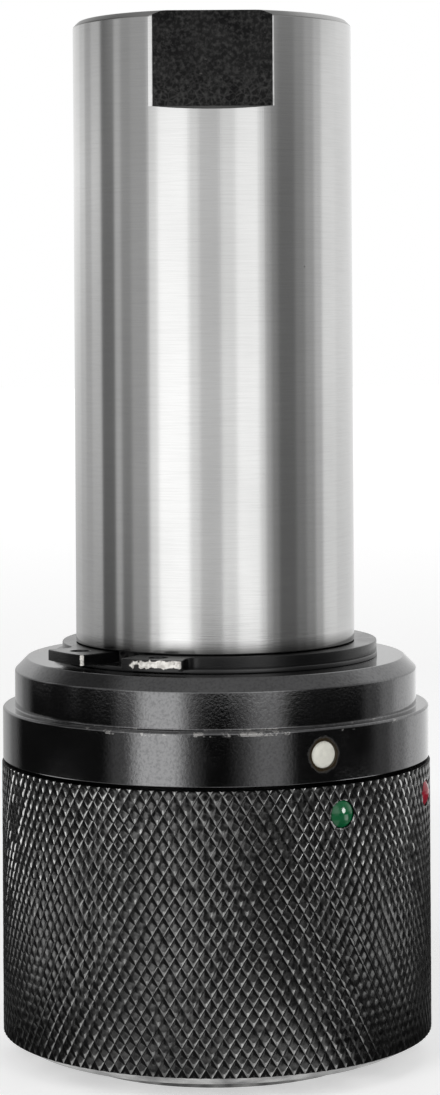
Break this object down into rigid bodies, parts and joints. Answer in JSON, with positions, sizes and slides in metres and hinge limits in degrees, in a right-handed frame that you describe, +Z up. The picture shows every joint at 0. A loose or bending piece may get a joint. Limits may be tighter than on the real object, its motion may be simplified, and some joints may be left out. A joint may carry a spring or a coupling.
{
  "type": "core drill holder",
  "caption": "Quick-change holder for core drills: ground cylindrical shank, index collar and a knurled sleeve that turns to lock two pins on the drill's shank.",
  "frame": {"origin": "centre of the nose face, on the holder's axis, where it stands", "axes": "+Z up the shank, away from the drill bore; -Y towards the front drive flat and the viewer; +X to the viewer's right"},
  "size_m": [0.0492, 0.0492, 0.118],
  "materials": {
    "ground_steel": "cylindrically ground, with black forging skin left on the drive flats",
    "blackened_steel": "black oxide, oiled",
    "spring_steel": "phosphated spring steel",
    "bright_steel": "hardened and ground",
    "black_rubber": "moulded nitrile",
    "cream_plastic": "semi-gloss",
    "green_plastic": "gloss",
    "red_plastic": "gloss"
  },
  "bodies": {
    "holder": {"holder_body": "ground_steel", "retaining_ring": "spring_steel", "thrust_washer": "blackened_steel", "index_collar": "blackened_steel", "index_dot": "cream_plastic", "collar_key": "bright_steel", "stop_pin": "bright_steel", "return_spring": "spring_steel", "pin_spring_a": "spring_steel", "pin_spring_b": "spring_steel", "sleeve_seal": "black_rubber", "collar_seal": "black_rubber", "bore_seal": "black_rubber", "plunger_clip": "spring_steel", "ejector_spring": "spring_steel"},
    "sleeve": {"locking_sleeve": "blackened_steel", "locked_dot": "green_plastic", "open_dot": "red_plastic"},
    "pin_a": {"locking_pin_a": "bright_steel"},
    "pin_b": {"locking_pin_b": "bright_steel"},
    "ejector": {"ejector_plunger": "bright_steel"}
  },
  "joints": [
    {"name": "sleeve_turn", "type": "hinge", "parent": "holder", "child": "sleeve", "pos_m": [0, 0, 0.0176], "axis": [0, 0, 1], "range_deg": [-46, 0], "stiffness_Nm_per_rad": 0.25, "springref_deg": 20.05, "deforming": ["return_spring"]},
    {"name": "pin_a_slide", "type": "slide", "parent": "holder", "child": "pin_a", "axis": [-0.7071, -0.7071, 0], "range_m": [0, 0.00225], "deforming": ["pin_spring_a"]},
    {"name": "pin_b_slide", "type": "slide", "parent": "holder", "child": "pin_b", "axis": [0.7071, -0.7071, 0], "range_m": [0, 0.00225], "deforming": ["pin_spring_b"]},
    {"name": "ejector_slide", "type": "slide", "parent": "holder", "child": "ejector", "axis": [0, 0, 1], "range_m": [0, 0.025], "stiffness_N_per_m": 300, "springref_m": -0.01, "deforming": ["ejector_spring"]}
  ],
  "couplings": [
    {"joint": "pin_a_slide", "follows": "sleeve_turn", "m_per_rad": -0.0028},
    {"joint": "pin_b_slide", "follows": "sleeve_turn", "m_per_rad": -0.0028}
  ]
}
